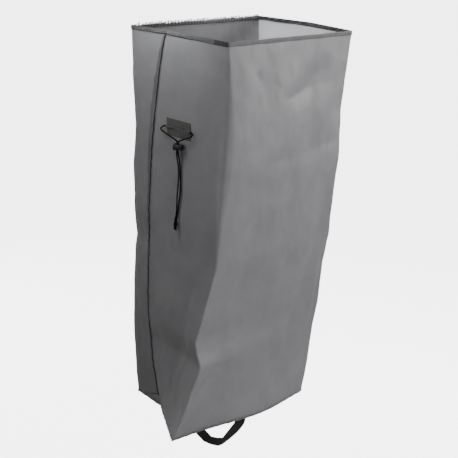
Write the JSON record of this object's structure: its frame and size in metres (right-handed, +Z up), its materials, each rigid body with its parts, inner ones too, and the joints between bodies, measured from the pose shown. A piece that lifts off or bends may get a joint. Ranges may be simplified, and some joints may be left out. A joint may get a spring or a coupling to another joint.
{
  "type": "canvas sack",
  "caption": "Tall open-topped cloth sack that hangs from its mouth, with a taped rim, a drawcord with a spring cord lock on one side and a webbing handle strap under the base.",
  "frame": {"origin": "middle of the mouth, level with the top of the rim tape, where the sack hangs", "axes": "+Z up out of the mouth, +X along the broad panels, -Y towards the broad front panel"},
  "size_m": [0.5749, 0.305, 1.0594],
  "materials": {
    "sack_cloth": "smooth coated grey cloth with a faint sheen",
    "base_cloth": "smooth coated grey cloth",
    "rim_tape": "matt woven edge tape",
    "seam_cloth": "folded and stitched grey cloth",
    "tunnel_tape": "dark woven tape",
    "webbing": "black ribbed webbing",
    "cord": "black braided cord",
    "lock_plastic": "black moulded plastic"
  },
  "bodies": {
    "sack": {"sack_walls": "sack_cloth", "base_panel": "base_cloth", "rim_tape": "rim_tape", "seam_flap": "seam_cloth", "cord_tunnel": "tunnel_tape", "base_strap": "webbing", "cord_left": "cord", "cord_right": "cord", "cord_knot": "cord", "lock_barrel": "lock_plastic"},
    "plunger": {"lock_plunger": "lock_plastic"}
  },
  "joints": [
    {"name": "lock_press", "type": "slide", "parent": "sack", "child": "plunger", "axis": [-0.342, 0.9397, 0], "range_m": [0, 0.003], "stiffness_N_per_m": 900, "springref_m": -0.003}
  ]
}
